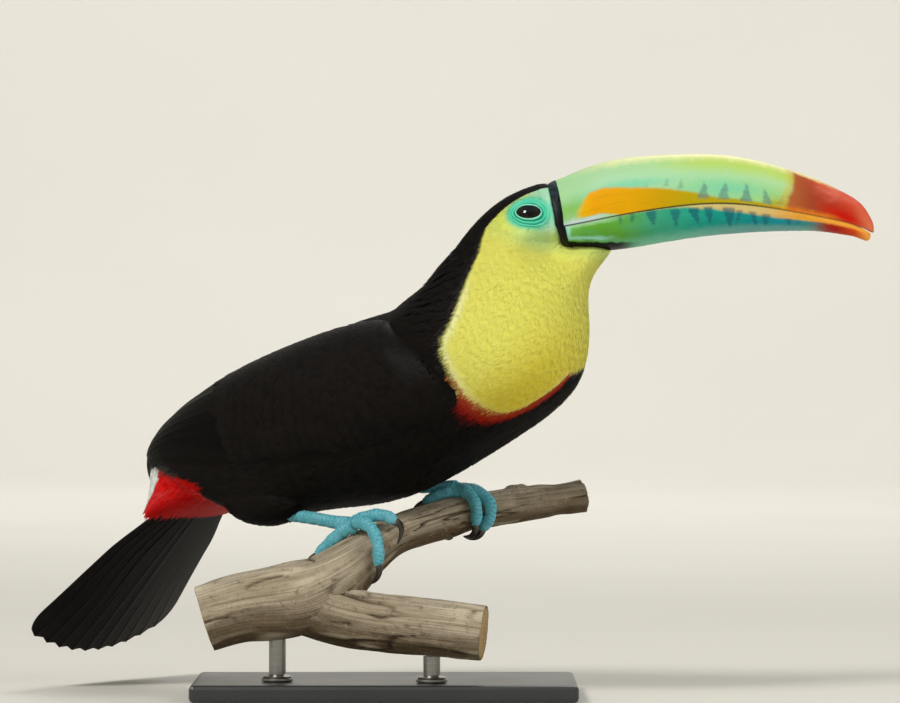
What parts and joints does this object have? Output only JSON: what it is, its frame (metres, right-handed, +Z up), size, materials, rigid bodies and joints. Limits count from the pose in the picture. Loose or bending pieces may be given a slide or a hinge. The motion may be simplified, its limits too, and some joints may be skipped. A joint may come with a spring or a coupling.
{
  "type": "keel-billed toucan on a perch, still display model",
  "caption": "Life-size still model of a keel-billed toucan gripping a short cut branch, held by a plain flat base and short rods.",
  "frame": {"origin": "centre of the underside of the stand's base", "axes": "+Z up, +X the way the bill points, -Y the side of the bird that faces the viewer; the trunk is turned 32 degrees from +X toward -Y"},
  "size_m": [0.4023, 0.2118, 0.2536],
  "materials": {
    "black_plumage": "matte black feathers with a faint brown sheen",
    "yellow_plumage": "soft yellow feathers",
    "red_plumage": "soft red feathers",
    "white_plumage": "soft off-white feathers",
    "eye": "wet dark eye",
    "bill_green": "satin horn, green with orange, dark and red markings",
    "bill_blue": "satin horn, green to blue with dark and red markings",
    "bill_black": "satin black horn",
    "leg_skin": "scaly blue skin with dark claws",
    "bark": "weathered bare branch",
    "stand_paint": "satin dark paint",
    "stand_steel": "brushed steel"
  },
  "bodies": {
    "root": {"head": "yellow_plumage", "bib": "yellow_plumage", "crown": "black_plumage", "nape": "black_plumage", "trunk": "black_plumage", "wing_left": "black_plumage", "wing_right": "black_plumage", "tail": "black_plumage", "thigh_left": "black_plumage", "thigh_right": "black_plumage", "breast_band": "red_plumage", "undertail_coverts": "red_plumage", "uppertail_coverts": "white_plumage", "eye_left": "eye", "eye_right": "eye", "bill_upper": "bill_green", "bill_lower": "bill_blue", "bill_band": "bill_black", "foot_left": "leg_skin", "foot_right": "leg_skin", "perch": "bark", "perch_fork": "bark", "stand_base": "stand_paint", "stand_rod_front": "stand_steel", "stand_rod_back": "stand_steel"}
  },
  "joints": []
}
